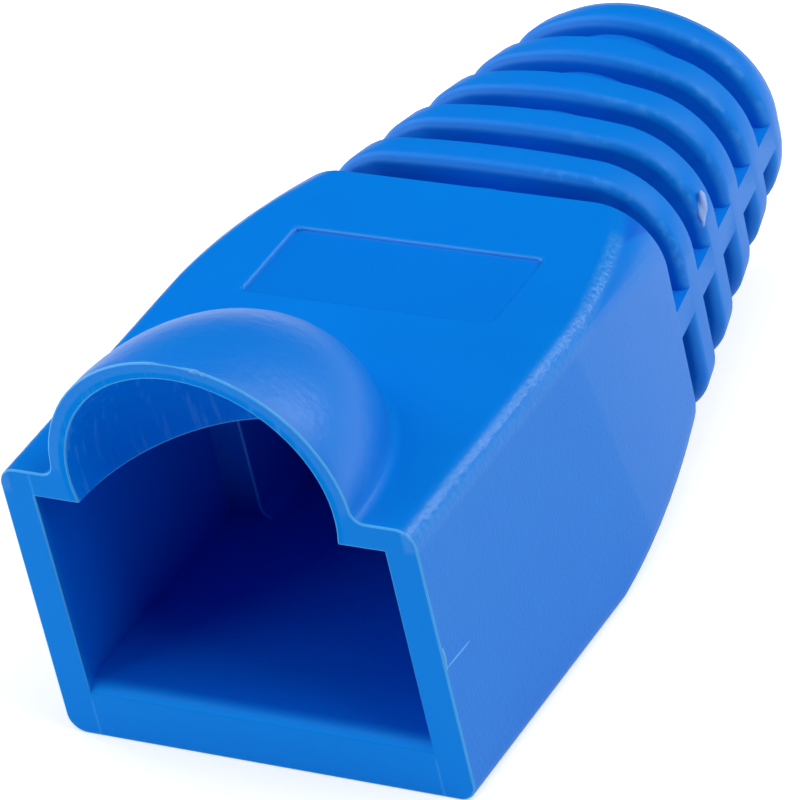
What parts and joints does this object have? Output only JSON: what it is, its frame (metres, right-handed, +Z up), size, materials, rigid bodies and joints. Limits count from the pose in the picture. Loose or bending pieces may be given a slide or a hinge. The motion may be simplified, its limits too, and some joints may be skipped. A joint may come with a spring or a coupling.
{
  "type": "rj45 strain relief boot",
  "caption": "Soft moulded boot that slips over a modular network plug: a box sleeve with a domed latch guard, and a ribbed neck that limits how far the cable bends.",
  "frame": {"origin": "middle of the footprint: on the centre line, half way between the mouth and the collar's end, at the height of the sleeve's flat underside", "axes": "+Y from the mouth towards the cable, +X across the boot, +Z up, towards the latch dome"},
  "size_m": [0.014, 0.0278, 0.0144],
  "materials": {
    "blue_pvc": "satin moulded soft PVC, fine grain on the sides"
  },
  "bodies": {
    "root": {"boot": "blue_pvc"}
  },
  "joints": []
}
